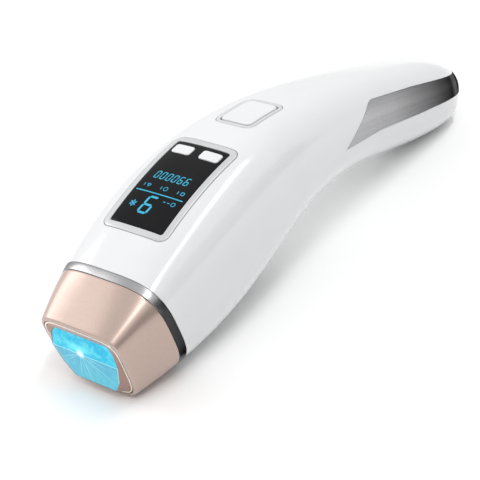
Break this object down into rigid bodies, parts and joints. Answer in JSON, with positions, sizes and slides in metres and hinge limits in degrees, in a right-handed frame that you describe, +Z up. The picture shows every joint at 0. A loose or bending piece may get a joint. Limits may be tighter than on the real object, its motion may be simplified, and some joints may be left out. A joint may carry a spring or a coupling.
{
  "type": "ipl hair remover",
  "caption": "Curved hand-held pulsed light hair remover with a pull-off lamp head, a display with two keys, a flash button and a metal tail trim.",
  "frame": {"origin": "middle of the footprint, on the surface that the handset lies on, display side up", "axes": "+X from the lamp head to the tail, +Y to the left, +Z up"},
  "size_m": [0.1964, 0.0462, 0.0519],
  "materials": {
    "gloss_white": "glossy white, moulded",
    "rose_gold": "satin rose gold paint",
    "rose_gold_dark": "satin rose gold paint, darker",
    "brushed_silver": "bright brushed metal",
    "bezel_silver": "satin silver paint",
    "panel_black": "polished black panel",
    "window_crystal": "polished crystal with a cyan glow",
    "quartz": "clear quartz",
    "black_plastic": "moulded, fine grain",
    "grey_plastic": "moulded, fine grain",
    "board_green": "solder resist",
    "aluminium": "extruded",
    "steel": "plated",
    "gold_plate": "gold plated",
    "sleeve_blue": "shrink sleeve",
    "tape_yellow": "winding tape"
  },
  "bodies": {
    "handset": {"upper_shell": "gloss_white", "bottom_cover": "gloss_white", "front_ring": "brushed_silver", "tail_trim": "brushed_silver", "cover_screw_1": "steel", "cover_screw_2": "steel", "cover_screw_3": "steel", "cover_screw_4": "steel", "display_bezel": "bezel_silver", "display_lens": "panel_black", "mode_switch": "steel", "level_switch": "steel", "display_module": "black_plastic", "display_board": "board_green", "flash_button_frame": "gloss_white", "flash_switch": "steel", "button_board": "board_green", "chassis": "grey_plastic", "main_board": "board_green", "charge_transformer": "tape_yellow", "trigger_coil": "tape_yellow", "main_capacitor": "sleeve_blue", "heat_sink": "aluminium", "fan_frame": "black_plastic", "lamp_socket": "black_plastic", "socket_contact_1": "gold_plate", "socket_contact_2": "gold_plate", "dc_inlet": "black_plastic", "dc_inlet_pin": "gold_plate"},
    "lamp_head": {"head_shell": "rose_gold", "window_frame": "rose_gold_dark", "window_glass": "window_crystal", "filter_glass": "quartz", "reflector": "aluminium", "flash_tube": "quartz", "tube_cap_1": "steel", "tube_cap_2": "steel", "cartridge_base": "black_plastic", "cartridge_pin_1": "gold_plate", "cartridge_pin_2": "gold_plate"},
    "fan": {"fan_rotor": "black_plastic"},
    "mode_key_body": {"mode_key": "gloss_white"},
    "level_key_body": {"level_key": "gloss_white"},
    "flash_button_body": {"flash_button": "gloss_white"}
  },
  "joints": [
    {"name": "lamp_head_pull", "type": "slide", "parent": "handset", "child": "lamp_head", "axis": [-0.9715, 0, -0.2372], "range_m": [0, 0.03]},
    {"name": "fan_spin", "type": "hinge", "parent": "handset", "child": "fan", "pos_m": [-0.04128, 0, 0.02559], "axis": [0.969, 0, 0.2471], "continuous": true},
    {"name": "mode_key_press", "type": "slide", "parent": "handset", "child": "mode_key_body", "axis": [0.2575, 0, -0.9663], "range_m": [0, 0.0005], "stiffness_N_per_m": 400},
    {"name": "level_key_press", "type": "slide", "parent": "handset", "child": "level_key_body", "axis": [0.2575, 0, -0.9663], "range_m": [0, 0.0005], "stiffness_N_per_m": 400},
    {"name": "flash_button_press", "type": "slide", "parent": "handset", "child": "flash_button_body", "axis": [-0.067, 0, -0.9978], "range_m": [0, 0.001], "stiffness_N_per_m": 500}
  ]
}
